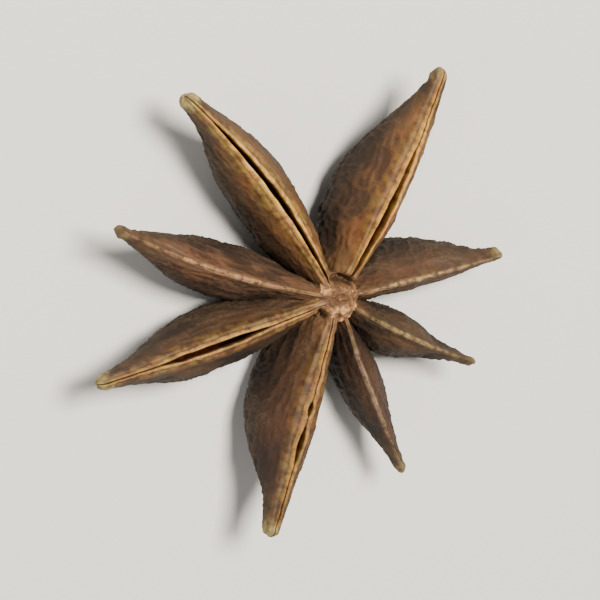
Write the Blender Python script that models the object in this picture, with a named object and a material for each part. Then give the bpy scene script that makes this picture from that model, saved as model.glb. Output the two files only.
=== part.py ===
"""A dried star anise pod: eight boat-shaped carpels set like a star round one short column.

Each carpel is a woody boat. Its seam runs along the top from the column to a blunt beak, its two
flanks bulge to a rounded keel below, and where the seam has split the boat is hollow.
Sizes are in millimetres until loft() makes a mesh of them in metres. +Z is up, with the seams on
top, as the pod lies on a table. The origin is on the table, below the middle of the bounding box.
"""

import math
from collections import namedtuple

import bpy
import numpy as np

MM = 0.001  # metres

# The column that the carpels grow from, and the stub of the stalk under it.
COLUMN = np.array([1.93, 0.30, 0.0])  # its axis, from the middle of the pod's bounding box
COLUMN_TOP = 6.70
COLUMN_TOP_RADIUS = 1.65
COLUMN_FOOT = 1.35
COLUMN_FOOT_RADIUS = 2.1
STALK_END = 0.55
STALK_RADIUS = 0.85
COLUMN_SIDES = 20
COLUMN_OUTLINE = [  # radius and height, from the top down
    (0.40 * COLUMN_TOP_RADIUS, COLUMN_TOP - 0.04),
    (0.70 * COLUMN_TOP_RADIUS, COLUMN_TOP - 0.20),
    (0.95 * COLUMN_TOP_RADIUS, COLUMN_TOP - 0.50),
    (1.00 * COLUMN_TOP_RADIUS, COLUMN_TOP - 1.1),
    (1.05 * COLUMN_TOP_RADIUS, 0.5 * (COLUMN_TOP + COLUMN_FOOT)),
    (0.98 * COLUMN_FOOT_RADIUS, COLUMN_FOOT + 0.7),
    (0.92 * COLUMN_FOOT_RADIUS, COLUMN_FOOT + 0.15),
    (1.45 * STALK_RADIUS, COLUMN_FOOT),
    (1.02 * STALK_RADIUS, COLUMN_FOOT - 0.30),
    (0.95 * STALK_RADIUS, STALK_END + 0.10),
    (0.80 * STALK_RADIUS, STALK_END),
]

# What all carpels share. "Of the length" and the like mean a part of that size, from 0 to 1.
ROOT_RADIUS = 0.35  # where a carpel starts, inside the column
SEAM_ROOT_HEIGHT = 6.5
ROOT_DEPTH = 0.70  # of the depth, at the column
ROOT_SWELL = 1.25  # how slowly the width grows from the column: 1 is a plain sine
BEAK_DEPTH = 0.20  # of the depth, times how stout the beak is
BEAK_WIDTH = 0.28  # of the width, times how stout the beak is
BEAK_TAPER = 1.9  # how fast the belly draws in to the beak
BEAK_END = 0.965  # of the length, where the blunt end starts to close
BELLY = 0.40  # of the length, where a carpel is deepest
WIDEST = 0.46  # of the length
WIDEST_DEPTH = 0.58  # of the depth, where a section is widest
SHOULDER = 1.1  # how steeply the flank leaves the lip: 1 is a quarter sine, more is steeper
KEEL_ROUND = (2.2, 0.7)  # the powers that round the section from its widest place to the keel
LEAN_PLACE = 0.35  # of the length, where a carpel has reached its full lean
LIP_ROOT = 0.42  # of the lip's half-width, at the column
LIP_BEAK = 0.52  # of the lip's half-width, at the beak
LIP_MOST = 0.8  # of the section's half-width
LIP_SLOPE = 0.45  # how far the lip falls from the seam to its edge, for each millimetre across
CREST = 0.13  # how far the ridge on the seam stands up
CREST_LIP = 0.26  # half-width of a lip that carries the full crest
STATIONS = 15  # sections from the column to where the blunt end starts
END_TURNS = (25, 50, 75)  # degrees round the blunt end, one section each
FLANK_PARTS = (0.10, 0.25, 0.42, 0.58, 0.74, 0.87, 0.96)  # of the depth, one point each

# The hollow of a split carpel and the slits over it.
WALL = 0.55
LIP_THICKNESS = 0.9
LEAST_HOLLOW = 0.1  # depth and half-width that the hollow keeps in a narrow beak
CAVITY_BEYOND = 0.02  # of the length, how far the hollow runs on past its slits
CAVITY_PLACES = (0.07, 0.87)  # of the length, the hollow's limits
CAVITY_STATIONS = 9
CAVITY_PARTS = (0.2, 0.4, 0.6, 0.8)  # of the way up the hollow's wall, one point each
CAVITY_ROUND = 0.7  # how full the hollow is: 0 is a box, 1 is a sine
CAVITY_END = 0.4  # how bluntly the hollow ends: 0 is a box, 1 is a sine
SLIT_STATIONS = 7
SLIT_ROUND = 0.7  # how bluntly a slit ends
SLIT_OVER = 0.6  # how far a slit's cutter stands over the seam
SLIT_UNDER = 0.5  # how far it reaches into the hollow
THINNEST = 0.15  # of the full size, at the ends of a hollow or a slit

FLAT_CUT = 0.15  # how much the table side is flattened under the deepest keels
TABLE_BLOCK = 60.0
TABLE_DEPTH = 5.0

SHARP_ANGLE = 40  # degrees
HUSK_COLOUR = (0.14, 0.065, 0.03, 1)
HUSK_ROUGHNESS = 0.65

# bearing and lean in degrees; length from the column's axis; bow is the sideways curve of the seam;
# lift is how high the keel stays over the table; drop is how far the tip lies below the belly's
# seam; root is the part of the width that is left at the column; beak is how stout the beak is; lip
# is half the band along the seam at its broadest.
# A slit is its start and end, as parts of the length, and its greatest width.
Carpel = namedtuple("Carpel", "name bearing length depth width lean bow lift drop root beak lip slits")
CARPELS = [
    Carpel("north_east", 65.0, 17.1, 7.0, 4.8, 4, -0.5, 0.0, 0.1, 0.46, 0.76, 0.88,
           [(0.05, 0.68, 0.52)]),
    Carpel("north_west", 129.8, 17.9, 6.9, 4.2, -2, -0.8, 0.0, 0.2, 0.24, 0.95, 0.88,
           [(0.03, 0.88, 0.42)]),
    Carpel("west", 162.5, 16.9, 6.6, 3.7, 0, 0.6, 0.2, 0.1, 0.22, 0.72, 0.22, []),
    Carpel("south_west", 197.0, 17.8, 6.8, 4.2, 6, 0.15, 0.0, 0.3, 0.24, 0.90, 0.76,
           [(0.28, 0.76, 0.48)]),
    Carpel("south", 255.0, 16.7, 7.0, 4.7, -3, -0.05, 0.0, 0.3, 0.30, 0.80, 0.88,
           [(0.41, 0.48, 0.38), (0.51, 0.69, 0.42)]),
    Carpel("south_east", 296.0, 14.0, 5.6, 2.9, 9, -0.1, 0.2, 0.6, 0.20, 0.80, 0.22, []),
    Carpel("east", 336.0, 12.6, 5.4, 2.9, -4, -0.3, 0.3, 0.7, 0.22, 0.62, 0.21, []),
    Carpel("east_north_east", 10.5, 13.4, 5.8, 3.4, 11, -0.15, 0.0, 0.5, 0.28, 0.85, 0.24, []),
]


def smooth(value):
    """0 below 0 and 1 above 1, with a level start and end between."""
    value = min(max(value, 0.0), 1.0)
    return value * value * (3 - 2 * value)


def hump(place, peak, root, beak, rise):
    """1 at the peak, falling to root at 0 along a sine and, past the peak, to beak at 1 along a cosine."""
    if place < peak:
        return root + (1 - root) * math.sin(math.pi / 2 * place / peak) ** rise
    fall = math.cos(math.pi / 2 * (place - peak) / (1 - peak))
    return beak + (1 - beak) * max(fall, 0.0) ** BEAK_TAPER


def end_closing(place):
    """1 up to the beak's blunt end, then a quarter circle down to 0."""
    past = max(place - BEAK_END, 0.0) / (1 - BEAK_END)
    return math.sqrt(max(1 - past * past, 0.0))


def depth_at(carpel, place):
    """Depth of the section under the seam."""
    beak = BEAK_DEPTH * carpel.beak
    return carpel.depth * hump(place, BELLY, ROOT_DEPTH, beak, 1.0) * end_closing(place)


def half_width_at(carpel, place):
    """Half of the section's greatest width."""
    beak = BEAK_WIDTH * carpel.beak
    return carpel.width / 2 * hump(place, WIDEST, carpel.root, beak, ROOT_SWELL) * end_closing(place)


def lip_at(carpel, place):
    """Half of the band along the seam: broad at mid length and narrow at both ends."""
    if place < WIDEST:
        share = LIP_ROOT + (1 - LIP_ROOT) * smooth(place / WIDEST)
    else:
        share = 1 + (LIP_BEAK - 1) * smooth((place - WIDEST) / (1 - WIDEST))
    return min(carpel.lip * share, LIP_MOST * half_width_at(carpel, place))


def lean_at(carpel, place):
    """The carpel stands straight at the column and leans over beyond it."""
    return math.radians(carpel.lean) * smooth(place / LEAN_PLACE)


def seam_at(carpel, place):
    """Distance along the bearing, sideways offset and height of a point on the seam."""
    out = ROOT_RADIUS + (carpel.length - ROOT_RADIUS) * place
    side = carpel.bow * math.sin(math.pi * place)
    belly_seam = carpel.depth * math.cos(math.radians(carpel.lean)) + carpel.lift - FLAT_CUT
    height = SEAM_ROOT_HEIGHT + (belly_seam - SEAM_ROOT_HEIGHT) * smooth(place / BELLY)
    height -= carpel.drop * smooth((place - BELLY) / (1 - BELLY))
    height -= 0.5 * carpel.depth * BEAK_DEPTH * carpel.beak * (1 - end_closing(place))
    return out, side, height


def flank_width(part, lip, half_width):
    """Half the section's width, from the lip's edge at part 0 to the keel at part 1.

    A quarter sine swells it to its widest, and a flattened circle closes it below.
    """
    if part < WIDEST_DEPTH:
        return lip + (half_width - lip) * math.sin(math.pi / 2 * part / WIDEST_DEPTH) ** SHOULDER
    below = (part - WIDEST_DEPTH) / (1 - WIDEST_DEPTH)
    return half_width * max(1 - below ** KEEL_ROUND[0], 0.0) ** KEEL_ROUND[1]


def place_section(carpel, place, points):
    """Section points, sideways and below the seam, put where the seam runs and leaned about it."""
    out, side, height = seam_at(carpel, place)
    lean = lean_at(carpel, place)
    bearing = math.radians(carpel.bearing)
    along = np.array([math.cos(bearing), math.sin(bearing), 0.0])
    across = np.array([-math.sin(bearing), math.cos(bearing), 0.0])
    up = np.array([0.0, 0.0, 1.0])
    placed = []
    for y, z in points:
        leaned_y = y * math.cos(lean) - z * math.sin(lean)
        leaned_z = y * math.sin(lean) + z * math.cos(lean)
        placed.append(COLUMN + out * along + (side + leaned_y) * across + (height + leaned_z) * up)
    return placed


def loft(name, rings):
    """A closed mesh object in metres through rings of as many points each, with a fan cap at each end."""
    count = len(rings[0])
    points = [point for ring in rings for point in ring]
    faces = []
    for row in range(len(rings) - 1):
        for k in range(count):
            after = (k + 1) % count
            low = row * count
            faces.append((low + k, low + after, low + count + after, low + count + k))
    for row, turn in ((0, -1), (len(rings) - 1, 1)):
        centre = len(points)
        points.append(np.mean(rings[row], axis=0))
        for k in range(count):
            edge = (row * count + k, row * count + (k + 1) % count)
            faces.append((centre,) + edge[::turn])
    mesh = bpy.data.meshes.new(name)
    mesh.from_pydata([tuple(point * MM) for point in points], [], faces)
    mesh.update()
    thing = bpy.data.objects.new(name, mesh)
    bpy.context.scene.collection.objects.link(thing)
    return thing


def mirrored_ring(half):
    """A half outline from the seam down to the keel, mirrored, then run back up to the seam."""
    return [(-y, z) for y, z in half] + half[-2:0:-1]


def outer_places():
    """Where the sections of a carpel stand: evenly along it, then round its blunt end."""
    along = list(np.linspace(0, BEAK_END, STATIONS))
    return along + [BEAK_END + (1 - BEAK_END) * math.sin(math.radians(turn)) for turn in END_TURNS]


def carpel_solid(carpel):
    """The outer form of a carpel, without its hollow."""
    rings = []
    for place in outer_places():
        depth = depth_at(carpel, place)
        half_width = half_width_at(carpel, place)
        lip = lip_at(carpel, place)
        edge = -LIP_SLOPE * lip
        half = [(0.0, CREST * min(lip / CREST_LIP, 1.0)), (lip, edge)]
        for part in FLANK_PARTS:
            half.append((flank_width(part, lip, half_width), edge - (depth + edge) * part))
        half.append((0.0, -depth))
        rings.append(place_section(carpel, place, mirrored_ring(half)))
    return loft(f"carpel_{carpel.name}", rings)


def blunt_end(step, power):
    """How full a cutter is at a step from 0 to 1 along it: whole in the middle, thin at both ends."""
    return max(math.sin(math.pi * step) ** power, THINNEST)


def cavity_cutter(carpel):
    """The seed chamber: the flanks' form taken in by the wall, and roofed by the lips' thickness."""
    start = max(carpel.slits[0][0] - CAVITY_BEYOND, CAVITY_PLACES[0])
    end = min(carpel.slits[-1][1] + CAVITY_BEYOND, CAVITY_PLACES[1])
    rings = []
    for step in np.linspace(0, 1, CAVITY_STATIONS):
        place = start + (end - start) * step
        closing = blunt_end(step, CAVITY_END)
        depth = depth_at(carpel, place)
        lip = lip_at(carpel, place)
        half_width = half_width_at(carpel, place)
        edge = -LIP_SLOPE * lip
        roof = min(LIP_THICKNESS, 0.5 * depth)
        height = max(depth - WALL - roof, LEAST_HOLLOW) * closing
        half = [(0.0, -roof)]
        for part in CAVITY_PARTS:
            z = -roof - height * (1 - math.cos(math.pi * part)) / 2
            flank_part = min(max((edge - z) / (edge + depth), 0.0), 1.0)
            room = max(flank_width(flank_part, lip, half_width) - WALL, LEAST_HOLLOW)
            half.append((room * closing * math.sin(math.pi * part) ** CAVITY_ROUND, z))
        half.append((0.0, -roof - height))
        rings.append(place_section(carpel, place, mirrored_ring(half)))
    return loft(f"cavity_{carpel.name}", rings)


def slit_cutter(carpel, slit, number):
    """A thin blade through the lips, as wide as the split seam."""
    start, end, width = slit
    rings = []
    for step in np.linspace(0, 1, SLIT_STATIONS):
        place = start + (end - start) * step
        half = width / 2 * blunt_end(step, SLIT_ROUND)
        foot = -LIP_THICKNESS - SLIT_UNDER
        blade = [(-half, SLIT_OVER), (-half, foot), (half, foot), (half, SLIT_OVER)]
        rings.append(place_section(carpel, place, blade))
    return loft(f"slit_{carpel.name}_{number}", rings)


def column_solid():
    """The column, turned about its axis: a low knob, a waist, a foot, and the stalk's stub."""
    angles = [-2 * math.pi * k / COLUMN_SIDES for k in range(COLUMN_SIDES)]
    rings = []
    for radius, height in COLUMN_OUTLINE:
        ring = [np.array([radius * math.cos(a), radius * math.sin(a), height]) for a in angles]
        rings.append([COLUMN + point for point in ring])
    return loft("pod", rings)


def table_block():
    """A block whose top is the table, to flatten what reaches below it."""
    half = TABLE_BLOCK / 2
    square = [(-half, -half), (half, -half), (half, half), (-half, half)]
    rings = [[np.array([x, y, height]) for x, y in square] for height in (-TABLE_DEPTH, 0.0)]
    return loft("table_block", rings)


def hide_as_tool(thing):
    """Marks a cutter or a shape that lives on only inside the pod."""
    thing.hide_render = True
    thing.display_type = "WIRE"


def boolean(thing, other, operation):
    """Adds an exact Boolean of one object with another."""
    step = thing.modifiers.new(f"{operation.lower()} {other.name}", "BOOLEAN")
    step.operation = operation
    step.solver = "EXACT"
    step.object = other
    hide_as_tool(other)


def husk_material():
    """Dry brown husk: dull, with a slight sheen where it is smooth."""
    material = bpy.data.materials.new("dry husk")
    material.use_nodes = True
    shader = material.node_tree.nodes["Principled BSDF"]
    shader.inputs["Base Color"].default_value = HUSK_COLOUR
    shader.inputs["Roughness"].default_value = HUSK_ROUGHNESS
    shader.inputs["Metallic"].default_value = 0.0
    return material


def build():
    """The whole pod: the column joined with its carpels, then flattened under the keels."""
    for thing in list(bpy.data.objects):
        bpy.data.objects.remove(thing, do_unlink=True)
    pod = column_solid()
    for carpel in CARPELS:
        solid = carpel_solid(carpel)
        if carpel.slits:
            boolean(solid, cavity_cutter(carpel), "DIFFERENCE")
        for number, slit in enumerate(carpel.slits):
            boolean(solid, slit_cutter(carpel, slit, number), "DIFFERENCE")
        boolean(pod, solid, "UNION")
    boolean(pod, table_block(), "DIFFERENCE")
    pod.data.materials.append(husk_material())
    pod.data.shade_smooth()
    pod.data.set_sharp_from_angle(angle=math.radians(SHARP_ANGLE))


build()
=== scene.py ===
"""The looks of a dried star anise pod: the skin, seams, hollows and wrinkles of its eight carpels,
the column that they grow from, and the stalk's stub under it. All sizes are in millimetres until a
mesh is made, and in metres from there on.
"""

from collections import namedtuple

import bpy
import numpy as np
from mathutils import Matrix, Vector


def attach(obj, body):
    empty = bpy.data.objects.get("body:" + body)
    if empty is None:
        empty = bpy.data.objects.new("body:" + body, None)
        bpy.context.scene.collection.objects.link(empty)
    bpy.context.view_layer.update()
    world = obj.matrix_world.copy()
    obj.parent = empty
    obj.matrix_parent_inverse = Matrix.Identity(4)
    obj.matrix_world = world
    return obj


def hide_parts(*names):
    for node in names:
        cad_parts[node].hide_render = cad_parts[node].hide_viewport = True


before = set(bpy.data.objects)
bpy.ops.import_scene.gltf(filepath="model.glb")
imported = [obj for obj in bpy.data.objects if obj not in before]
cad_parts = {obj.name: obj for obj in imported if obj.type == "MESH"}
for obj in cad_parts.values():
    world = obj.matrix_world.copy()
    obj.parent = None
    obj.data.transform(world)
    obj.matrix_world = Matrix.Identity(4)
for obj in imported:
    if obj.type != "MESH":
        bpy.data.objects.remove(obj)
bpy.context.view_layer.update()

# ---------------------------------------------------------------------------------------------------
# The carpels. Each is a woody boat that grew round one seed: two lips meet in a seam along the top,
# two flanks bulge below it, and a rounded keel closes them. As the pod dried the skin shrank into
# wrinkles and some seams split open. The carpels are one piece with the column.
# ---------------------------------------------------------------------------------------------------

MM = 0.001  # metres

Carpel = namedtuple(
    "Carpel",
    "name bearing length depth width lean bow lift drop root beak lip slits seed lip_tint skin_tint tip",
)

# bearing and lean in degrees. length runs from the column's axis to the tip. bow is the seam's
# sideways curve, lift the keel's height over the table, drop how far the tip is below the belly's
# seam, root the part of the width that is left at the column, beak how stout the beak is, lip half
# the band along the seam. A slit is its start and end, as parts of the length, and its greatest
# width. The tints are the lips' and the flanks' own colours, in sRGB. tip is how pale the blunt end
# is, from 0 to 1.
CARPELS = [
    Carpel("north_east", 65.0, 17.1, 7.0, 4.8, 4, -0.5, 0.0, 0.1, 0.46, 0.76, 0.88,
           [(0.05, 0.68, 0.52)], 11, (0.73, 0.53, 0.24), (0.35, 0.24, 0.13), 0.35),
    Carpel("north_west", 129.8, 17.9, 6.9, 4.2, -2, -0.8, 0.0, 0.2, 0.24, 0.95, 0.88,
           [(0.03, 0.88, 0.42)], 23, (0.79, 0.61, 0.31), (0.32, 0.225, 0.12), 1.0),
    Carpel("west", 162.5, 16.9, 6.6, 3.7, 0, 0.6, 0.2, 0.1, 0.22, 0.72, 0.22,
           [], 37, (0.66, 0.50, 0.345), (0.34, 0.25, 0.18), 0.25),
    Carpel("south_west", 197.0, 17.8, 6.8, 4.2, 6, 0.15, 0.0, 0.3, 0.24, 0.90, 0.76,
           [(0.28, 0.76, 0.48)], 41, (0.67, 0.51, 0.28), (0.23, 0.165, 0.11), 0.8),
    Carpel("south", 255.0, 16.7, 7.0, 4.7, -3, -0.05, 0.0, 0.3, 0.30, 0.80, 0.88,
           [(0.41, 0.48, 0.38), (0.51, 0.69, 0.42)], 53, (0.59, 0.43, 0.21), (0.25, 0.155, 0.085), 0.7),
    Carpel("south_east", 296.0, 14.0, 5.6, 2.9, 9, -0.1, 0.2, 0.6, 0.20, 0.80, 0.22,
           [], 67, (0.55, 0.455, 0.33), (0.20, 0.125, 0.07), 0.5),
    Carpel("east", 336.0, 12.6, 5.4, 2.9, -4, -0.3, 0.3, 0.7, 0.22, 0.62, 0.21,
           [], 71, (0.56, 0.47, 0.30), (0.215, 0.155, 0.09), 0.4),
    Carpel("east_north_east", 10.5, 13.4, 5.8, 3.4, 11, -0.15, 0.0, 0.5, 0.28, 0.85, 0.24,
           [], 83, (0.63, 0.51, 0.33), (0.24, 0.165, 0.095), 0.45),
]

COLUMN = np.array([1.93, 0.30, 0.0])
ROOT_RADIUS = 0.35
SEAM_ROOT_HEIGHT = 6.5
ROOT_DEPTH = 0.70
BEAK_DEPTH = 0.20
BEAK_WIDTH = 0.28
BEAK_TAPER = 1.9
BEAK_END = 0.965
BELLY = 0.40
WIDEST = 0.46
WIDEST_DEPTH = 0.58
SHOULDER = 1.1  # how steeply the flank leaves the lip: 1 is a quarter sine, more is steeper
LIP_ROOT = 0.42  # of the lip's half-width, at the column
LIP_BEAK = 0.52  # of the lip's half-width, at the beak
LIP_SLOPE = 0.45
CREST = 0.13  # how far the crest beside a split seam, or the ridge on a shut one, stands up
CREST_PLACE = 0.22  # across the lip, from the seam
LIP_EDGE = 0.05  # the low welt where the lip meets the flank
WALL = 0.55
LIP_THICKNESS = 0.9
FLAT_CUT = 0.15
COLUMN_TOP = 6.70

# Clefts round the top of the column, where the roots of the carpels have shrunk from it: bearing of
# the middle and spread in degrees, radius, thickness and depth.
CLEFTS = [(76, 36, 1.40, 0.24, 0.95), (226, 19, 1.50, 0.15, 0.75), (352, 12, 1.60, 0.14, 0.4)]

STATIONS = 190
END_STATIONS = 10
INNER_POINTS = 26
LIP_POINTS = 16
FLANK_POINTS = 78


def smooth(value):
    """0 below 0 and 1 above 1, with a level start and end between."""
    value = np.clip(value, 0.0, 1.0)
    return value * value * (3 - 2 * value)


def hump(place, peak, root, beak, rise):
    """1 at the peak, falling to root at 0 along a sine and, past the peak, to beak at 1 along a cosine."""
    before = root + (1 - root) * np.sin(np.pi / 2 * np.clip(place / peak, 0, 1)) ** rise
    fall = np.cos(np.pi / 2 * np.clip((place - peak) / (1 - peak), 0, 1))
    return np.where(place < peak, before, beak + (1 - beak) * fall**BEAK_TAPER)


def end_closing(place):
    """1 up to the beak's blunt end, then a quarter circle down to 0."""
    past = np.clip((place - BEAK_END) / (1 - BEAK_END), 0, 1)
    return np.sqrt(1 - past * past)


def lattice_noise(points, size, seed):
    """Smooth noise from -1 to 1: random values on a cubic lattice of that size, blended between."""
    table = np.random.default_rng(seed).uniform(-1, 1, 4096)
    scaled = points / size
    cell = np.floor(scaled).astype(np.int64)
    part = scaled - cell
    part = part * part * (3 - 2 * part)
    total = 0.0
    for dx in (0, 1):
        for dy in (0, 1):
            for dz in (0, 1):
                key = (cell[..., 0] + dx) * 73856093 ^ (cell[..., 1] + dy) * 19349663
                key = key ^ (cell[..., 2] + dz) * 83492791
                weight = np.abs(1 - dx - part[..., 0]) * np.abs(1 - dy - part[..., 1])
                total = total + table[key & 4095] * weight * np.abs(1 - dz - part[..., 2])
    return total


def ridged_noise(points, size, seed):
    """Thin crests from 0 to 1 along the lines where smooth noise crosses zero."""
    crest = 1 - np.abs(lattice_noise(points, size, seed)) * 2.2
    return np.clip(crest, 0, 1) ** 1.5


def cell_gaps(points, size, seed):
    """Distances to the nearest and the second of random centres, one in each cell of a cubic lattice."""
    random = np.random.default_rng(seed).uniform(0.1, 0.9, (4096, 3))
    scaled = points / size
    cell = np.floor(scaled).astype(np.int64)
    nearest = np.full(points.shape[:-1], 9.0)
    second = np.full(points.shape[:-1], 9.0)
    for dx in (-1, 0, 1):
        for dy in (-1, 0, 1):
            for dz in (-1, 0, 1):
                there = cell + np.array([dx, dy, dz])
                key = there[..., 0] * 73856093 ^ there[..., 1] * 19349663 ^ there[..., 2] * 83492791
                gap = np.linalg.norm(there + random[key & 4095] - scaled, axis=-1)
                second = np.minimum(second, np.maximum(gap, nearest))
                nearest = np.minimum(nearest, gap)
    return nearest, second


def cell_net(points, size, seed):
    """A net of ridges from 0 to 1: highest where two random centres are equally near."""
    nearest, second = cell_gaps(points, size, seed)
    return np.clip(1 - (second - nearest) / 0.38, 0, 1)


def pebbles(points, size, seed):
    """Round knobs from 0 to 1, one about each random centre."""
    nearest, _ = cell_gaps(points, size, seed)
    return np.clip(1 - (nearest / 0.62) ** 2, 0, 1)


def slit_shape(carpel, place):
    """Half-width of the open seam and how far the chamber below it has opened, along the carpel."""
    half = np.full_like(place, 0.032 if carpel.slits else 0.004)
    hollow = np.zeros_like(place)
    if not carpel.slits:
        return half, hollow
    waver = lattice_noise(np.stack([place * carpel.length, place * 0, place * 0], -1), 0.9, carpel.seed)
    for start, end, width in carpel.slits:
        step = np.clip((place - start) / (end - start), 0, 1)
        half = np.maximum(half, width / 2 * np.sin(np.pi * step) ** 0.7 * (1 + 0.22 * waver))
    first, last = carpel.slits[0][0], carpel.slits[-1][1]
    hollow = smooth((place - first + 0.03) / 0.07) * smooth((last + 0.03 - place) / 0.07)
    return half, hollow


def flank_width(part, lip, half_width):
    """Half the section's width, from the lip's edge at part 0 to the keel at part 1.

    A quarter sine swells it to its widest, and a flattened circle closes it below.
    """
    swell = np.sin(np.pi / 2 * np.clip(part / WIDEST_DEPTH, 0, 1)) ** SHOULDER
    below = np.clip((part - WIDEST_DEPTH) / (1 - WIDEST_DEPTH), 0, 1)
    rounded = half_width * np.clip(1 - below**2.2, 0, 1) ** 0.7
    return np.where(part < WIDEST_DEPTH, lip + (half_width - lip) * swell, rounded)


def carpel_form(carpel):
    """The carpel's surface before its relief, as rows of sections along it.

    Each section is one loop: from the chamber's floor up its wall to the seam, over one lip, down
    that flank to the keel, and back the same way on the other side. Returns the points in the
    carpel's own axes (x along the bearing, y across, z up) and, for each point, what the relief
    and the paint need to know about its place.
    """
    turns = np.radians(np.linspace(0, 84, END_STATIONS + 1)[1:])
    main = np.linspace(0, BEAK_END, STATIONS)
    place = np.concatenate([main, BEAK_END + (1 - BEAK_END) * np.sin(turns)])[:, None]
    closing = end_closing(place)
    beak_depth, beak_width = BEAK_DEPTH * carpel.beak, BEAK_WIDTH * carpel.beak
    depth = carpel.depth * hump(place, BELLY, ROOT_DEPTH, beak_depth, 1.0) * closing
    half_width = carpel.width / 2 * hump(place, WIDEST, carpel.root, beak_width, 1.25) * closing
    lip = np.where(
        place < WIDEST,
        LIP_ROOT + (1 - LIP_ROOT) * smooth(place / WIDEST),
        1 + (LIP_BEAK - 1) * smooth((place - WIDEST) / (1 - WIDEST)),
    )
    lip = np.minimum(carpel.lip * lip, 0.8 * half_width)
    slit, hollow = slit_shape(carpel, place)
    slit = np.minimum(slit, 0.5 * lip)
    beads = np.stack([place * carpel.length, place * 0, place * 0], axis=-1)
    beads = beads + 0.45 * lattice_noise(beads, 1.3, carpel.seed + 17)[..., None]
    uneven = lattice_noise(beads, 0.55, carpel.seed + 15) + 0.5 * lattice_noise(beads, 0.24, carpel.seed + 16)

    # The lip: a crest beside the seam, then a slope down to a low welt where the flank begins.
    over = np.linspace(0, 1, LIP_POINTS)[None, :]
    lip_scale = np.minimum(lip / (0.5 if carpel.slits else 0.26), 1.0)
    crest_place = CREST_PLACE if carpel.slits else 0.0
    crest_spread = 0.19 if carpel.slits else 0.50
    crest = CREST * lip_scale * np.exp(-(((over - crest_place) / crest_spread) ** 2))
    crest = crest * (1 + (0.45 if carpel.slits else 0.70) * uneven) * smooth((place - 0.05) / 0.07)
    welt = LIP_EDGE * lip_scale * np.exp(-(((over - 0.85) / 0.13) ** 2)) * (0.6 + 0.6 * uneven)
    lip_y = slit + (lip - slit) * over
    lip_z = crest + welt - LIP_SLOPE * lip * over**1.4
    edge = lip_z[:, -1:]

    # The flank: out from the lip to the widest place, then round to the keel.
    part = (1 - np.cos(np.pi * np.linspace(0, 1, FLANK_POINTS)[None, 1:] ** 0.9)) / 2
    flank_y = flank_width(part, lip, half_width)
    flank_z = edge + (-depth - edge) * part

    # The inner loop: a shallow groove where the seam is shut, and where it has split the seed's
    # chamber, which follows the flank one wall inside it.
    run = np.linspace(0, 1, INNER_POINTS)[None, :-1]
    groove_depth = np.minimum(0.19 if carpel.slits else 0.02, 0.3 * depth)
    groove_y, groove_z = slit * run, lip_z[:, :1] - groove_depth * (1 - run)
    wall_run = np.clip(run / 0.65, 0, 1)
    neck_run = np.clip((run - 0.65) / 0.35, 0, 1)
    roof = np.minimum(LIP_THICKNESS, 0.5 * depth)
    floor = np.maximum(depth - WALL, roof + 0.1)
    chamber_z = -floor + (floor - roof) * (1 - np.cos(np.pi * wall_run)) / 2
    chamber_part = np.clip((chamber_z - edge) / (-depth - edge), 0, 1)
    room = np.maximum(flank_width(chamber_part, lip, half_width) - WALL, 0.0)
    chamber_y = slit * wall_run + np.maximum(room - slit, 0) * np.sin(np.pi * wall_run) ** 0.7
    chamber_z = chamber_z + (roof + lip_z[:, :1]) * neck_run
    inner_y = groove_y + (chamber_y - groove_y) * hollow
    inner_z = groove_z + (chamber_z - groove_z) * hollow

    half_y = np.concatenate([inner_y, lip_y, flank_y], axis=1)
    half_z = np.concatenate([inner_z, lip_z, flank_z], axis=1)
    ones = np.ones_like(place)
    shut = ones * (0.0 if carpel.slits else 1.0)
    groove = (1 - shut) * (1 - hollow)
    zone = {
        "inner": np.concatenate([ones * smooth((1 - run) / 0.35), 0 * ones * over, 0 * ones * part], 1),
        "lip": np.concatenate(
            [ones + 0 * run, 1 - (0.3 + 0.3 * shut) * smooth((over - 0.4) / 0.6),
             (0.7 - 0.3 * shut) * (1 - smooth(part / (0.13 - 0.05 * shut)))], 1),
        "crest": np.concatenate(
            [ones * smooth((run - 0.6) / 0.4),
             np.maximum(1 - smooth((over - 0.28) / 0.30), shut * (1 - smooth((over - 0.2) / 0.7))),
             0 * ones * part], 1),
        "groove": np.concatenate(
            [groove * smooth((1 - run) / 0.4), 0 * ones * over, 0 * ones * part], 1),
        "seam": np.concatenate(
            [ones + 0 * run, ones * (1 - smooth((over - 0.1) / 0.5)), 0 * ones * part], 1),
        "keel": np.concatenate([0 * ones * run, 0 * ones * over, ones * part], 1),
        "shut": np.concatenate([ones + 0 * run, ones + 0 * over, ones + 0 * part], 1) * (1 - hollow),
    }

    def both_sides(values, sign=1):
        """The left half from chamber floor to keel, then the right half back, ends shared."""
        return np.concatenate([sign * values, values[:, -2:0:-1]], axis=1)

    y, z = both_sides(half_y, -1), both_sides(half_z)
    zone = {name: both_sides(values) for name, values in zone.items()}
    zone["place"] = place + 0 * y
    out = ROOT_RADIUS + (carpel.length - ROOT_RADIUS) * place
    side = carpel.bow * np.sin(np.pi * place)
    belly_seam = carpel.depth * np.cos(np.radians(carpel.lean)) + carpel.lift - FLAT_CUT
    height = SEAM_ROOT_HEIGHT + (belly_seam - SEAM_ROOT_HEIGHT) * smooth(place / BELLY)
    height = height - carpel.drop * smooth((place - BELLY) / (1 - BELLY))
    height = height - 0.5 * carpel.depth * beak_depth * (1 - closing)
    lean = np.radians(carpel.lean) * smooth(place / 0.35)
    zone["flat"] = np.stack([out + 0 * y, y, z], axis=-1)
    zone["up"] = np.stack([0 * y, -np.sin(lean) + 0 * y, np.cos(lean) + 0 * y], axis=-1)
    points = np.stack(
        [out + 0 * y, side + y * np.cos(lean) - z * np.sin(lean),
         height + y * np.sin(lean) + z * np.cos(lean)], axis=-1
    )
    return points, zone


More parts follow.
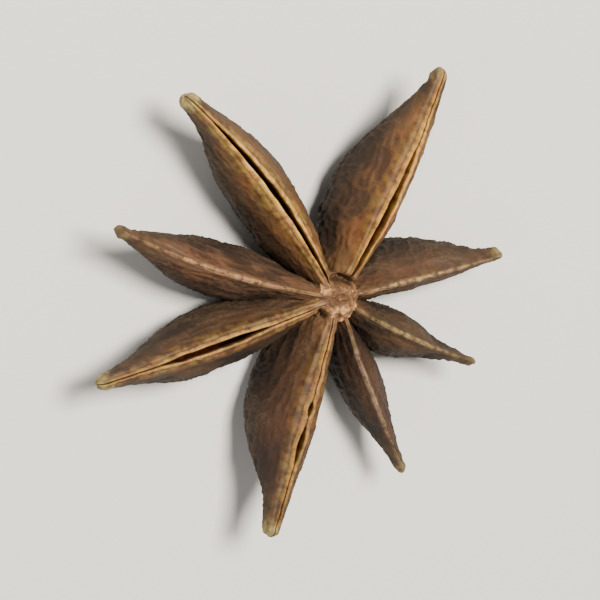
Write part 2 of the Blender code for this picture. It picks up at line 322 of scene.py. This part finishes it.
def surface_normals(points):
    """Unit normals of a grid whose columns close round, from the cross product of its two directions."""
    along = np.gradient(points, axis=0)
    around = (np.roll(points, -1, axis=1) - np.roll(points, 1, axis=1)) / 2
    normals = np.cross(around, along)
    return normals / np.maximum(np.linalg.norm(normals, axis=-1, keepdims=True), 1e-9)


def carpel_relief(carpel, zone):
    """Height of the skin over its smooth form, in millimetres.

    Broad dents of the dried belly, long wrinkles that run with the carpel under the lips, a net of
    ridges that grows towards the keel, a fine grain, and on the lips a slight waviness with fine
    marks across them.
    """
    flat, keel, lip, inner = zone["flat"], zone["keel"], zone["lip"], zone["inner"]
    seed = carpel.seed
    skin = (1 - lip) * (1 - inner)
    shift = np.array([seed * 7.3, seed * 3.1, seed * 1.7])
    spot = flat + shift
    warp = np.stack([lattice_noise(spot, 1.6, seed + k) for k in (1, 2, 3)], axis=-1)
    bent = spot + 0.35 * warp
    beak = smooth((zone["place"] - 0.72) / 0.2)
    dents = lattice_noise(spot, 3.2, seed + 4) * 0.20 + lattice_noise(spot, 1.5, seed + 5) * 0.09
    long_wrinkles = ridged_noise(bent / np.array([3.4, 1.0, 0.75]), 0.8, seed + 6)
    fine_wrinkles = ridged_noise(bent / np.array([1.8, 1.0, 0.8]), 0.36, seed + 7)
    net = cell_net(bent / np.array([1.15, 1.0, 0.9]), 0.85, seed + 8)
    small_net = cell_net(bent, 0.42, seed + 9)
    rough = smooth((keel - 0.25) / 0.6)
    relief = dents * smooth(keel / 0.15) * (1 - 0.6 * beak)
    relief += 0.075 * long_wrinkles * (1 - 0.55 * rough)
    relief += 0.030 * fine_wrinkles
    relief += (0.04 + 0.13 * rough) * (net - 0.4) + 0.04 * (small_net - 0.4) * (0.4 + rough)
    relief += 0.012 * lattice_noise(spot, 0.16, seed + 10)
    relief *= skin * (1 - 0.35 * beak)
    across = lattice_noise(bent * np.array([1.0, 0.3, 0.3]), 0.20, seed + 12)
    waver = lattice_noise(bent * np.array([1.0, 0.3, 0.3]), 0.75, seed + 13)
    knobs = lattice_noise(bent * np.array([1.0, 0.5, 0.5]), 0.42, seed + 14)
    lip_relief = 0.006 * across + 0.035 * waver + (0.025 + 0.05 * zone["shut"]) * knobs
    relief += lip_relief * lip * (1 - inner)
    fade = smooth(zone["place"] / 0.05)
    return relief * fade, np.clip(0.5 + relief / 0.3, 0, 1)


def cleft_depth(points):
    """How far the clefts lower a point: bell curves of its radius and bearing, near the column's top.

    points are in millimetres from the column's axis.
    """
    radius = np.hypot(points[..., 0], points[..., 1])
    bearing = np.degrees(np.arctan2(points[..., 1], points[..., 0]))
    depth = np.zeros_like(radius)
    for middle, spread, ring, thickness, most in CLEFTS:
        turn = (bearing - middle + 180) % 360 - 180
        depth += most * np.exp(-(((radius - ring) / thickness) ** 2) - (turn / spread) ** 2)
    ragged = 1 + 0.5 * lattice_noise(points * np.array([1, 1, 0]), 0.4, 107)
    return depth * ragged * smooth((points[..., 2] - COLUMN_TOP + 1.2) / 0.6)


def grid_object(name, points, values):
    """A closed mesh object from rows of rings: quads between rows, a fan to a middle point at each end.

    points is rows x columns x 3 in millimetres; values holds one number per point for each named
    attribute that the paint reads.
    """
    rows, columns = points.shape[:2]
    ends = np.stack([points[0].mean(axis=0), points[-1].mean(axis=0)])
    vertices = np.concatenate([points.reshape(-1, 3), ends]) * MM
    index = np.arange(rows * columns).reshape(rows, columns)
    after = np.roll(index, -1, axis=1)
    quads = np.stack([index[:-1], after[:-1], after[1:], index[1:]], axis=-1).reshape(-1, 4)
    first = np.stack([np.full(columns, rows * columns), after[0], index[0]], axis=-1)
    last = np.stack([np.full(columns, rows * columns + 1), index[-1], after[-1]], axis=-1)
    loops = np.concatenate([quads.ravel(), first.ravel(), last.ravel()])
    sizes = np.concatenate([np.full(len(quads), 4), np.full(2 * columns, 3)])
    mesh = bpy.data.meshes.new(name)
    mesh.vertices.add(len(vertices))
    mesh.vertices.foreach_set("co", vertices.astype(np.float32).ravel())
    mesh.loops.add(len(loops))
    mesh.loops.foreach_set("vertex_index", loops.astype(np.int32))
    mesh.polygons.add(len(sizes))
    mesh.polygons.foreach_set("loop_start", (np.cumsum(sizes) - sizes).astype(np.int32))
    mesh.update(calc_edges=True)
    mesh.validate()
    for key, value in values.items():
        layer = mesh.attributes.new(key, "FLOAT", "POINT")
        per_row = value.reshape(-1)
        filled = np.concatenate([per_row, [value[0].mean(), value[-1].mean()]])
        layer.data.foreach_set("value", filled.astype(np.float32))
    mesh.shade_smooth()
    thing = bpy.data.objects.new(name, mesh)
    bpy.context.scene.collection.objects.link(thing)
    return thing


def carpel_object(carpel):
    """One carpel with its relief, turned to its bearing and set against the column."""
    points, zone = carpel_form(carpel)
    relief, height = carpel_relief(carpel, zone)
    seam = zone["seam"][..., None]
    way = surface_normals(points) * (1 - seam) + zone["up"] * seam
    points = points + way * relief[..., None]
    points[..., 2] = np.maximum(points[..., 2], 0.0)
    bearing = np.radians(carpel.bearing)
    turn = np.array([
        [np.cos(bearing), -np.sin(bearing), 0],
        [np.sin(bearing), np.cos(bearing), 0],
        [0, 0, 1],
    ])
    points = points @ turn.T
    sunk = cleft_depth(points)
    points[..., 2] -= sunk
    values = {key: zone[key] for key in ("inner", "lip", "crest", "groove", "keel", "place")}
    values["relief"] = height
    values["sunk"] = sunk
    values["along"] = zone["flat"][..., 0]
    values["across"] = zone["flat"][..., 1]
    return grid_object(f"carpel_{carpel.name}", points + COLUMN, values)


class Signal:
    """One value in a material. Plain operators on it add the Math nodes that do the same."""

    def __init__(self, paint, socket):
        self.paint = paint
        self.socket = socket

    def __add__(self, other):
        return self.paint.maths("ADD", self, other)

    def __sub__(self, other):
        return self.paint.maths("SUBTRACT", self, other)

    def __rsub__(self, other):
        return self.paint.maths("SUBTRACT", other, self)

    def __mul__(self, other):
        return self.paint.maths("MULTIPLY", self, other)

    def __truediv__(self, other):
        return self.paint.maths("DIVIDE", self, other)

    def __pow__(self, other):
        return self.paint.maths("POWER", self, other)

    __radd__ = __add__
    __rmul__ = __mul__


class Paint:
    """A material under construction, on one Principled shader."""

    def __init__(self, name):
        self.material = bpy.data.materials.new(name)
        self.material.use_nodes = True
        self.tree = self.material.node_tree
        self.shader = self.tree.nodes["Principled BSDF"]

    def node(self, kind, settings, output=0, **inputs):
        """Adds a node: its settings first, then a value or a link for each named or numbered socket."""
        made = self.tree.nodes.new(kind)
        for key, value in settings.items():
            setattr(made, key, value)
        for key, value in inputs.items():
            socket = made.inputs[int(key[1:])] if key[1:].isdigit() else made.inputs[key.replace("_", " ")]
            self.feed(socket, value)
        return Signal(self, made.outputs[output])

    def feed(self, socket, value):
        """A link if the value is a signal, and a plain number or colour if not."""
        if isinstance(value, Signal):
            self.tree.links.new(value.socket, socket)
        else:
            socket.default_value = value

    def maths(self, operation, *values):
        """A Math node on numbers or signals."""
        sockets = {f"i{k}": value for k, value in enumerate(values)}
        return self.node("ShaderNodeMath", {"operation": operation}, **sockets)

    def step(self, value, low, high):
        """0 where a signal is below low and 1 above high, smoothly between."""
        return self.node(
            "ShaderNodeMapRange", {"interpolation_type": "SMOOTHSTEP"},
            Value=value, From_Min=low, From_Max=high,
        )

    def blend(self, factor, colour_a, colour_b, kind="MIX"):
        """Two colours mixed, from a at factor 0 to b at factor 1."""
        return self.node(
            "ShaderNodeMix", {"data_type": "RGBA", "blend_type": kind}, 2,
            i0=factor, i6=colour_a, i7=colour_b,
        )

    def stored(self, name):
        """A number stored on the mesh's points."""
        return self.node("ShaderNodeAttribute", {"attribute_name": name}, "Fac")

    def spot(self, scale=(1, 1, 1)):
        """Object coordinates in millimetres, times a scale for each axis."""
        metres = self.node("ShaderNodeTexCoord", {}, "Object")
        return self.node(
            "ShaderNodeVectorMath", {"operation": "MULTIPLY"},
            i0=metres, i1=tuple(s / MM for s in scale),
        )

    def noise(self, spot, size, detail=3.0, roughness=0.55):
        """Noise from 0 to 1 with features of about that size, in millimetres."""
        return self.node(
            "ShaderNodeTexNoise", {"noise_dimensions": "3D"}, 0,
            Vector=spot, Scale=1 / size, Detail=detail, Roughness=roughness,
        )

    def use(self, **inputs):
        """Feeds the shader's own sockets."""
        for key, value in inputs.items():
            self.feed(self.shader.inputs[key.replace("_", " ")], value)


def linear(red, green, blue):
    """A display colour, 0 to 1, as the linear colour that a shader takes."""
    values = np.array([red, green, blue])
    made = np.where(values > 0.04045, ((values + 0.055) / 1.055) ** 2.4, values / 12.92)
    return (*made.tolist(), 1.0)


def husk_paint(carpel):
    """The carpel's finish: golden crests beside the seam, partly their own colour and partly painted
    highlight, tan lips, brown flanks that darken to grey-brown at the keel, partly their own colour
    and partly painted shade, a tan beak with a pale end, and a glossy wall in the chamber. Painted
    shade also darkens the wrinkles' hollows, the groove of a split seam and the clefts at the column,
    and painted highlight lightens the wrinkles' ridges.
    """
    paint = Paint(f"husk_{carpel.name}")
    lip, crest, keel = paint.stored("lip"), paint.stored("crest"), paint.stored("keel")
    relief, place, inner = paint.stored("relief"), paint.stored("place"), paint.stored("inner")
    along, across = paint.stored("along"), paint.stored("across")
    spot = paint.spot()
    broad = paint.noise(spot, 2.2)
    middle = paint.noise(spot, 0.7)
    grain = paint.noise(spot, 0.16, 4.0, 0.65)
    hue = paint.noise(spot, 1.25, 2.0)
    threads = paint.node("ShaderNodeCombineXYZ", {}, X=along * 3.0, Y=across * 1.8, Z=float(carpel.seed))
    marks = paint.noise(threads, 1.0, 3.0, 0.6)
    chain = paint.node("ShaderNodeCombineXYZ", {}, X=along * 2.1, Y=across * 1.5, Z=float(carpel.seed))
    beads = paint.noise(chain, 1.0, 3.0, 0.6)

    def tinted(tint, red, green, blue):
        """A tint with each of its channels scaled."""
        return linear(tint[0] * red, tint[1] * green, tint[2] * blue)

    flank = linear(*carpel.skin_tint)
    warm = tinted(carpel.skin_tint, 1.20, 1.08, 1.0)
    flank_tone_and_shade = tinted(carpel.skin_tint, 0.66, 0.64, 0.62)
    keel_grey_and_shade = linear(0.165, 0.12, 0.075)
    dark = linear(0.09, 0.055, 0.035)
    dust_and_highlight = linear(0.35, 0.27, 0.18)
    skin = paint.blend(paint.step(broad, 0.40, 0.62), flank, warm)
    # The flanks darken towards the keel: partly the keel's own grey-brown, partly painted shade on the lower
    # flanks.
    skin = paint.blend(paint.step(keel + (broad - 0.5) * 0.3, 0.10, 0.38), skin, flank_tone_and_shade)
    skin = paint.blend(paint.step(keel + (middle - 0.5) * 0.3, 0.35, 0.75) * 0.85, skin, keel_grey_and_shade)
    skin = paint.blend(paint.step(middle, 0.52, 0.72) * 0.25, skin, dark)
    # Painted shade: the dark colour laid into the hollows of the wrinkles and dents, where the relief is low.
    skin = paint.blend(paint.step(relief, 0.60, 0.30) * 0.60, skin, dark)
    # Painted highlight: a pale colour on the high ridges of the wrinkles. The pale flecks on the next line
    # follow the grain alone.
    skin = paint.blend(paint.step(relief, 0.62, 0.95) * paint.step(grain, 0.35, 0.65) * 0.45, skin, dust_and_highlight)
    skin = paint.blend(paint.step(grain, 0.60, 0.75) * 0.18, skin, dust_and_highlight)

    # The crests' golden colour: partly the lips' own colour, partly painted highlight on the crests that
    # stand up beside the seam, in beaded patches along the middle of the carpel.
    gold_and_highlight = paint.blend(
        paint.step(hue, 0.45, 0.62), linear(*carpel.lip_tint), tinted(carpel.lip_tint, 0.96, 0.90, 1.02)
    )
    band = paint.blend(
        paint.step(hue, 0.58, 0.44),
        tinted(carpel.lip_tint, 0.66, 0.60, 0.58), tinted(carpel.lip_tint, 0.60, 0.62, 0.54),
    )
    deep = tinted(carpel.lip_tint, 0.42, 0.37, 0.33)
    patch = paint.step(marks * 0.35 + middle * 0.65, 0.40, 0.60)
    bead = paint.step(beads * 0.7 + middle * 0.3, 0.38, 0.60)
    rim = paint.blend(patch, deep, band)
    mid_length = paint.step(place, 0.06, 0.34) * paint.step(place, 0.92, 0.62)
    gap, faded = (0.30, 0.30) if carpel.slits else (0.08, 0.60)
    gold_and_highlight_share = (gap + (1 - gap) * bead) * (1 - faded + faded * mid_length)
    rim = paint.blend(paint.step(crest + (beads - 0.5) * 0.9, 0.20, 0.80) * gold_and_highlight_share, rim, gold_and_highlight)
    rim = paint.blend(paint.step(grain, 0.60, 0.75) * 0.25, rim, deep)
    husk = paint.blend(paint.step(lip + (middle - 0.5) * 0.5, 0.12, 0.88), skin, rim)
    # Painted shade: dark colour down in the groove between the lips of a split seam.
    husk = paint.blend(paint.stored("groove") * 0.85, husk, dark)
    beak = paint.blend(paint.step(middle, 0.35, 0.65), linear(0.19, 0.13, 0.068), linear(0.31, 0.228, 0.125))
    husk = paint.blend(paint.step(place, 0.70, 0.92) * (1 - 0.6 * crest) * 0.75, husk, beak)
    tip = paint.blend(paint.step(middle, 0.3, 0.7), linear(0.43, 0.37, 0.22), linear(0.68, 0.61, 0.38))
    husk = paint.blend(paint.step(place + (middle - 0.5) * 0.08, 0.92, 0.99) * (0.85 * carpel.tip), husk, tip)
    root = paint.blend(paint.step(middle, 0.35, 0.65), linear(0.34, 0.235, 0.14), linear(0.50, 0.37, 0.235))
    husk = paint.blend(paint.step(along + (middle - 0.5) * 1.8, 3.2, 1.8) * (0.40 + 0.5 * lip), husk, root)
    # Painted shade: dark colour in the clefts where the carpels' roots have shrunk from the column.
    husk = paint.blend(paint.step(paint.stored("sunk"), 0.05, 0.50) * 0.8, husk, linear(0.14, 0.085, 0.045))
    wall = paint.blend(paint.step(middle, 0.35, 0.65), linear(0.28, 0.14, 0.05), linear(0.44, 0.25, 0.09))
    husk = paint.blend(inner, husk, wall)

    bump_height = grain * 0.5 + paint.noise(spot, 0.07, 3.0, 0.7) * 0.35 + marks * lip * 0.15
    bump = paint.node(
        "ShaderNodeBump", {}, Strength=0.6, Distance=0.00006, Height=bump_height * (1 - inner)
    )
    rough = 0.68 + 0.12 * keel - 0.06 * lip - 0.08 * crest - 0.30 * inner + 0.12 * (grain - 0.5)
    paint.use(Base_Color=husk, Roughness=rough, Normal=bump, Specular_IOR_Level=0.36)
    return paint.material


for carpel in CARPELS:
    piece = carpel_object(carpel)
    piece.data.materials.append(husk_paint(carpel))
    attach(piece, "root")
    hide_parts("pod")

# ---------------------------------------------------------------------------------------------------
# The column. The carpels are joined to this short woody post; its top is a small knobbly scar where
# the flower's styles stood, and its foot is the receptacle, with the broken stub of the stalk.
# ---------------------------------------------------------------------------------------------------

COLUMN_TOP_RADIUS = 1.65
COLUMN_FOOT = 1.35
COLUMN_FOOT_RADIUS = 2.1
STALK_END = 0.55
STALK_RADIUS = 0.85
COLUMN_ROWS = 170
COLUMN_SIDES = 170

def column_form():
    """The column as rings about its axis, from the knob's middle down to the stub's broken end.

    The profile is a chain of named radii and heights, rounded by a moving average.
    """
    waist = 0.5 * (COLUMN_TOP + COLUMN_FOOT)
    profile = np.array([
        (0.02, COLUMN_TOP),
        (0.40 * COLUMN_TOP_RADIUS, COLUMN_TOP - 0.04),
        (0.70 * COLUMN_TOP_RADIUS, COLUMN_TOP - 0.20),
        (0.95 * COLUMN_TOP_RADIUS, COLUMN_TOP - 0.50),
        (1.00 * COLUMN_TOP_RADIUS, COLUMN_TOP - 1.1),
        (1.05 * COLUMN_TOP_RADIUS, waist),
        (0.98 * COLUMN_FOOT_RADIUS, COLUMN_FOOT + 0.7),
        (0.92 * COLUMN_FOOT_RADIUS, COLUMN_FOOT + 0.15),
        (1.45 * STALK_RADIUS, COLUMN_FOOT),
        (1.02 * STALK_RADIUS, COLUMN_FOOT - 0.30),
        (0.95 * STALK_RADIUS, STALK_END + 0.10),
        (0.80 * STALK_RADIUS, STALK_END),
        (0.02, STALK_END + 0.06),
    ])
    lengths = np.concatenate([[0], np.cumsum(np.linalg.norm(np.diff(profile, axis=0), axis=1))])
    run = np.linspace(0, lengths[-1], COLUMN_ROWS)
    kernel = np.hanning(9) / np.hanning(9).sum()
    radius = np.convolve(np.pad(np.interp(run, lengths, profile[:, 0]), 4, "edge"), kernel, "valid")[:, None]
    height = np.convolve(np.pad(np.interp(run, lengths, profile[:, 1]), 4, "edge"), kernel, "valid")[:, None]
    angle = -np.linspace(0, 2 * np.pi, COLUMN_SIDES, endpoint=False)[None, :]
    points = np.stack(
        [radius * np.cos(angle), radius * np.sin(angle), height + 0 * angle], axis=-1
    )
    return points


def column_object():
    """The column with its knobs, clefts and grooves."""
    points = column_form()
    top = smooth((points[..., 2] - COLUMN_TOP + 1.0) / 0.5)
    bent = points + 0.10 * lattice_noise(points, 0.35, 106)[..., None]
    knobs = pebbles(bent * np.array([1, 1, 0.5]), 0.55, 101) - 0.5
    small_knobs = lattice_noise(bent, 0.24, 105) + 0.5 * lattice_noise(bent, 0.12, 108)
    grain = lattice_noise(points, 0.11, 102)
    grooves = ridged_noise(points * np.array([1, 1, 0.25]), 0.45, 103)
    relief = (0.07 * knobs + 0.09 * small_knobs) * (0.3 + 0.7 * top) + 0.015 * grain
    relief += 0.08 * grooves * (1 - top) + 0.12 * lattice_noise(points, 0.75, 104)
    sunk = cleft_depth(points)
    points = points + surface_normals(points) * relief[..., None]
    points[..., 2] = np.maximum(points[..., 2] - sunk, 0.15)
    values = {"top": top, "relief": np.clip(0.5 + relief / 0.25, 0, 1), "sunk": sunk}
    return grid_object("column", points + COLUMN, values)


def column_paint():
    """Pinkish tan on the knobs, grey-brown on the foot, with painted highlight on the knobs' tops and painted
    shade in the clefts and grooves.
    """
    paint = Paint("column")
    spot = paint.spot()
    middle, grain = paint.noise(spot, 0.5), paint.noise(spot, 0.14, 4.0, 0.65)
    top, relief = paint.stored("top"), paint.stored("relief")
    knob = paint.blend(paint.step(middle, 0.35, 0.65), linear(0.38, 0.26, 0.155), linear(0.53, 0.38, 0.24))
    foot = paint.blend(paint.step(middle, 0.35, 0.65), linear(0.24, 0.17, 0.12), linear(0.36, 0.28, 0.21))
    tint = paint.blend(top, foot, knob)
    # Painted shade in the hollows between the knobs, where the relief is low, and on the next line painted
    # highlight on the knobs' tops at the column's top, where it is high.
    tint = paint.blend(paint.step(relief, 0.50, 0.20) * 0.65, tint, linear(0.23, 0.13, 0.065))
    tint = paint.blend(paint.step(relief, 0.52, 0.84) * top * 0.85, tint, linear(0.76, 0.57, 0.39))
    tint = paint.blend(paint.step(grain, 0.58, 0.74) * 0.2, tint, linear(0.60, 0.46, 0.32))
    # Painted shade: dark colour in the clefts where the carpels' roots have shrunk from the column.
    tint = paint.blend(paint.step(paint.stored("sunk"), 0.05, 0.50) * 0.8, tint, linear(0.14, 0.085, 0.045))
    bump = paint.node("ShaderNodeBump", {}, Strength=0.6, Distance=0.00006, Height=grain)
    paint.use(Base_Color=tint, Roughness=0.74 + 0.1 * (grain - 0.5), Normal=bump, Specular_IOR_Level=0.30)
    return paint.material


column = column_object()
column.data.materials.append(column_paint())
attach(column, "root")
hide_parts("pod")

# ---------------------------------------------------------------------------------------------------
# The studio: a plain pale floor, a broad soft light overhead with a weaker one opposite, and a
# camera that looks down on the pod, a little from its west side.
# ---------------------------------------------------------------------------------------------------

FLOOR_SIZE = 4.0

floor_mesh = bpy.data.meshes.new("floor")
half = FLOOR_SIZE / 2
floor_mesh.from_pydata([(-half, -half, 0), (half, -half, 0), (half, half, 0), (-half, half, 0)], [],
                       [(0, 1, 2, 3)])
floor = bpy.data.objects.new("floor", floor_mesh)
bpy.context.scene.collection.objects.link(floor)
floor_paint = Paint("floor")
floor_paint.use(Base_Color=linear(0.86, 0.85, 0.83), Roughness=0.8)
floor_mesh.materials.append(floor_paint.material)

TILT = np.radians(26)  # how far the pod's axis leans from the camera
TILT_BEARING = np.radians(-20)  # the way that the axis leans, in the picture
VIEW_WIDTH = 0.0405
LENS = 200.0
SENSOR = 36.0

lean_way = Vector((np.cos(TILT_BEARING), np.sin(TILT_BEARING), 0))
level_way = Vector((-np.sin(TILT_BEARING), np.cos(TILT_BEARING), 0))
up = Vector((0, 0, 1))
tilted = lean_way * np.cos(TILT) + up * np.sin(TILT)
right_way = tilted * np.cos(TILT_BEARING) - level_way * np.sin(TILT_BEARING)
up_way = tilted * np.sin(TILT_BEARING) + level_way * np.cos(TILT_BEARING)
back_way = up * np.cos(TILT) - lean_way * np.sin(TILT)
aim = Vector((-0.00011, 0.00003, 0.00458))
camera_data = bpy.data.cameras.new("camera")
camera_data.lens = LENS
camera_data.sensor_width = SENSOR
camera_data.clip_start = 0.01
camera_data.clip_end = 10
camera = bpy.data.objects.new("camera", camera_data)
bpy.context.scene.collection.objects.link(camera)
rotation = Matrix((right_way, up_way, back_way)).transposed()
camera.matrix_world = Matrix.Translation(aim + back_way * (VIEW_WIDTH * LENS / SENSOR)) @ rotation.to_4x4()
bpy.context.scene.camera = camera


def soft_light(name, bearing, elevation, distance, size, power, warmth):
    """A square area light that looks at the pod from a bearing and an elevation, in degrees."""
    data = bpy.data.lights.new(name, "AREA")
    data.shape = "SQUARE"
    data.size = size
    data.energy = power
    data.color = warmth
    lamp = bpy.data.objects.new(name, data)
    bpy.context.scene.collection.objects.link(lamp)
    a, e = np.radians(bearing), np.radians(elevation)
    way = Vector((np.cos(a) * np.cos(e), np.sin(a) * np.cos(e), np.sin(e)))
    lamp.location = way * distance
    lamp.rotation_euler = way.to_track_quat("Z", "Y").to_euler()


soft_light("key", 80, 74, 0.40, 0.12, 4.0, (1.0, 0.95, 0.87))
soft_light("fill", 200, 40, 0.45, 0.30, 0.5, (0.97, 0.98, 1.0))
world = bpy.data.worlds.new("studio")
world.use_nodes = True
world.node_tree.nodes["Background"].inputs["Color"].default_value = (0.95, 0.94, 0.92, 1)
world.node_tree.nodes["Background"].inputs["Strength"].default_value = 0.26
bpy.context.scene.world = world
